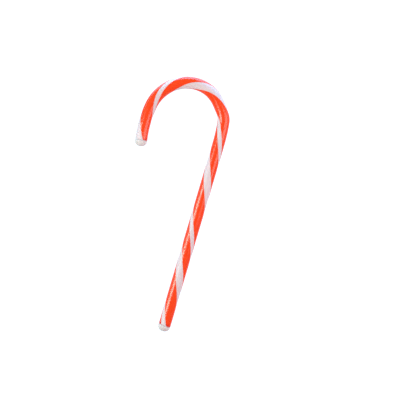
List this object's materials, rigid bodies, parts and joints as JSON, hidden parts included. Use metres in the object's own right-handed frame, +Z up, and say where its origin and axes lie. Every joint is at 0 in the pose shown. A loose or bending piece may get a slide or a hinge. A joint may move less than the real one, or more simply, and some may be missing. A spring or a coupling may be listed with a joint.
{
  "type": "candy cane",
  "caption": "Hooked stick of boiled sugar lying on its side, with red bands twisted round a white body and rounded white ends.",
  "frame": {"origin": "on the surface the cane lies on, under the middle of its outline", "axes": "+Y along the straight stem towards the hook, +Z up through the thickness of the lying cane, and the hook opens towards -X"},
  "size_m": [0.0534, 0.1518, 0.0071],
  "materials": {
    "red_sugar": "glossy clear boiled sugar, vermilion red",
    "white_sugar": "glossy pulled sugar, milky white, duller on the rounded ends"
  },
  "bodies": {
    "root": {"cane": "red_sugar"}
  },
  "joints": []
}
